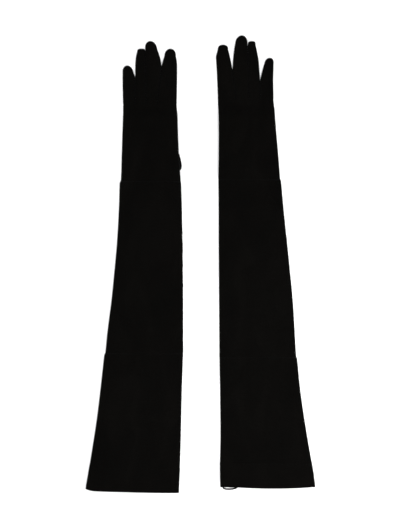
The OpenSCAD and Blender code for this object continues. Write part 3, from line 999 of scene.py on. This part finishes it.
def smooth_route(points, steps=8):
    """A smooth line through the points."""
    ends = np.array([2 * points[0] - points[1], *points, 2 * points[-1] - points[-2]])
    found = []
    for a, b, c, d in zip(ends, ends[1:], ends[2:], ends[3:]):
        for t in np.arange(steps) / steps:
            bend = (2 * a - 5 * b + 4 * c - d) * t ** 2 + (3 * b - a - 3 * c + d) * t ** 3
            found.append(0.5 * (2 * b + (c - a) * t + bend))
    return np.array(found + [points[-1]])


def hanger_loop():
    """The loop inside the right hem, a thin round cord of leather that falls out of the mouth."""
    route = smooth_route(LOOP_ROUTE)
    curve = bpy.data.curves.new("hanger_loop", "CURVE")
    curve.dimensions = "3D"
    curve.bevel_depth = LOOP_DIAMETER / 2
    curve.bevel_resolution = 4
    curve.use_fill_caps = True
    spline = curve.splines.new("POLY")
    spline.points.add(len(route) - 1)
    for point, place in zip(spline.points, route):
        point.co = (*place, 1)
    curve.materials.append(LOOP)
    loop = bpy.data.objects.new("hanger_loop_cord", curve)
    bpy.context.scene.collection.objects.link(loop)
    fasten(loop, "loop", ["right_hanger_loop"], ("right_upper",))


def loop_tacks():
    """The two ends of the loop, each bound down with turns of thread."""
    build = Build()
    turns, first_turn, turn_step, past_side = 7, 0.6 * MM, 0.62 * MM, 0.15
    radius = LOOP_DIAMETER / 2 + THREAD
    angles = np.linspace(-past_side, np.pi + past_side, 9)
    for x, y, z in (LOOP_ROUTE[0], LOOP_ROUTE[-1]):
        for k in range(turns):
            at = y + first_turn + k * turn_step
            path = [(x + radius * math.cos(a), at, z + 0.9 * radius * math.sin(a)) for a in angles]
            build.thread(path, (0, 1, 0), 1.2 * THREAD)
        stub = [(x, y + s * MM, z) for s in (0, 1.7, 3.4, 5)]
        build.thread(stub, (0, 0, 1), LOOP_DIAMETER / 2, sides=12, slot=1)
    fasten(build.piece("loop_tack_threads", THREADS, LOOP), "seam", ["right_loop_tacks"], ("right_upper",))


# ---- the pieces

# Parts of the arm, and the CAD tube and leather that each stands for
ARM = {
    "upper": ("upper", "sleeve"), "forearm_lower": ("forearm", "sleeve"),
    "forearm_upper": ("forearm", "sleeve"), "hand": ("hand", "trank"),
}
# The columns and rows of the turned-in leather beside a seam
EDGE_COLUMNS = range(ACROSS - 2, ACROSS + 2)
OTHER_COLUMNS = [column for column in range(AROUND) if column not in EDGE_COLUMNS]
CROSS_SEAM_ROWS = 3


def fasten(obj, slot, nodes, bend):
    """Puts a piece on its body when bend is (body,). When bend is (body, body, y from, y to), it only bakes
    the piece's placing into its points.
    """
    if len(bend) == 1:
        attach(obj, bend[0])
    else:
        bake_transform(obj)
    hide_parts(*nodes)


def layer(glove, name, skin, faces, depths, node, bend):
    """A piece of leather or silk: one closed shell cut from the skin."""
    build = Build()
    build.shell(skin, faces, depths)
    material, slot = (SILK, "lining") if depths == LINING else (SUEDE, "suede")
    fasten(build.piece(glove.node(name), material), slot, [glove.node(node)], bend)


def sewing(glove, name, build, nodes, bend, slot="seam"):
    """A piece of turned-in leather and thread."""
    fasten(build.piece(glove.node(name), SUEDE, THREADS), slot, [glove.node(node) for node in nodes], bend)


def arm_pieces(glove, skin, surface):
    upper, forearm, hand = (glove.node(name) for name in ("upper", "forearm", "hand"))
    elbow = (upper, forearm, glove.elbow - BEND["elbow"], glove.elbow + BEND["elbow"])
    wrist = (forearm, hand, glove.wrist - BEND["wrist"], glove.wrist + BEND["wrist"])
    bends = (elbow, elbow, wrist, wrist)
    ends = (glove.hem_outer, glove.elbow, (glove.elbow + glove.wrist) / 2, glove.wrist, glove.root)
    for (part, (tube, leather)), bend, y0, y1 in zip(ARM.items(), bends, ends, ends[1:]):
        past_facing = range(glove.facing_rows + 1 if part == "upper" else 0, len(glove.rings))
        layer(glove, f"{part}_leather", skin, skin.pick([part]), LEATHER, f"{tube}_{leather}", bend)
        layer(glove, f"{part}_silk", skin, skin.pick([part], past_facing), LINING, f"{tube}_lining", bend)
        build = Build()
        build.shell(skin, skin.pick([part], past_facing, EDGE_COLUMNS), TURNED_IN)
        sewn_edge(build, surface, (ACROSS - 1, ACROSS, ACROSS + 1), y0, y1)
        sewing(glove, f"{part}_edge_stitching", build, [f"{tube}_edge_seam"], bend)

    for name, node, row, y, bend in (
            ("elbow", "upper_elbow_seam", glove.elbow_row, glove.elbow, elbow),
            ("wrist", "forearm_wrist_seam", glove.wrist_row, glove.wrist, wrist)):
        build = Build()
        beside = range(row - CROSS_SEAM_ROWS + 1, row + CROSS_SEAM_ROWS + 1)
        build.shell(skin, skin.pick(ARM, beside, OTHER_COLUMNS), TURNED_IN)
        stitches_across(build, surface, y)
        sewing(glove, f"{name}_seam_stitching", build, [node], bend)

    build = Build()
    build.shell(skin, skin.pick(["upper"], range(glove.facing_rows + 1)), TURNED_IN)
    hem_stitches(build, surface, glove)
    sewing(glove, "hem_turning", build, ["upper_hem_facing"], (upper,), slot="suede")


def finger_pieces(glove, skin):
    for f, name in enumerate(FINGERS):
        bend = (glove.node("hand"), glove.node(name), glove.root, glove.root + BEND["finger"])
        walls, stall = f"{name}_fourchettes", f"{name}_stall"
        layer(glove, f"{name}_leather", skin, skin.pick([stall]), LEATHER, stall, bend)
        layer(glove, f"{name}_side_walls", skin, skin.pick([walls]), LEATHER, walls, bend)
        layer(glove, f"{name}_silk", skin, skin.pick([stall, walls]), LINING, f"{name}_lining", bend)

        build = Build()
        surface = Surface(skin, glove.finger_rings[name])
        tip = glove.finger_tip(name)[0]
        for columns in finger_seams(f):
            sewn_corner(build, surface, columns, glove.root, lerp(glove.root, tip, WALL_END))
        if f == len(FINGERS) - 1:
            short_of_tip = 4 * MM
            columns = (PER_FINGER - 1, PER_FINGER, PER_FINGER + 1)
            sewn_edge(build, surface, columns, glove.root, tip - short_of_tip)
        sewing(glove, f"{name}_stitching", build, [], bend)


def thumb_pieces(glove, skin):
    thumb = Thumb(glove.side)
    low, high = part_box(glove.node("thumb_seam"))
    radius = (high[0] - low[0]) / 2
    thumb_skin = Skin(settled(thumb), thumb)
    palm_rim = skin.punch(thumb.pivot, radius, upwards=False)
    thumb_rim = thumb_skin.punch(thumb.pivot, radius, upwards=True)
    body = (glove.node("thumb"),)
    faces = thumb_skin.pick(["thumb"])
    layer(glove, "thumb_leather", thumb_skin, faces, LEATHER, "thumb_stall", body)
    layer(glove, "thumb_silk", thumb_skin, faces, LINING, "thumb_lining", body)

    build = Build()
    inside_hole, short_of_base, short_of_tip = 0.45 * MM, 6 * MM, 5 * MM
    collar(build, thumb.pivot, radius - inside_hole, thumb_rim, palm_rim)
    surface = Surface(thumb_skin, thumb.rings)
    half = THUMB_AROUND // 2
    ys = surface.points[:, half, 1]
    columns, base, tip = (half - 1, half, half + 1), ys.min(), ys.max()
    sewn_edge(build, surface, columns, base + short_of_base, tip - short_of_tip)
    sewing(glove, "thumb_stitching", build, ["thumb_seam"], body)


def collar(build, centre, radius, thumb_rim, palm_rim):
    """A round band from the thumb's mouth to the palm's. The rims are (angles, z)."""
    n = 48
    turns = 2 * np.pi * np.arange(n) / n
    low, high = (np.interp(turns, *rim, period=2 * np.pi) for rim in (thumb_rim, palm_rim))
    thick = LEATHER[1]
    low, high = low - thick, high + thick
    points = [
        (centre[0] + r * math.cos(a), centre[1] + r * math.sin(a), z)
        for r, heights in ((radius, low), (radius, high), (radius - thick, high), (radius - thick, low))
        for a, z in zip(turns, heights)]
    faces = []
    for k in range(4):
        a, b = k * n, (k + 1) % 4 * n
        faces += [[a + i, a + (i + 1) % n, b + (i + 1) % n, b + i] for i in range(n)]
    build.add(points, faces)


def make_glove(side):
    glove = Glove(side)
    skin = Skin(relief(glove, settled(glove)), glove)
    surface = Surface(skin, glove.rings)
    thumb_pieces(glove, skin)
    arm_pieces(glove, skin, surface)
    finger_pieces(glove, skin)


make_camera()
hanger_loop()
loop_tacks()
for hand in SIDES:
    make_glove(hand)
make_stage()
make_light()
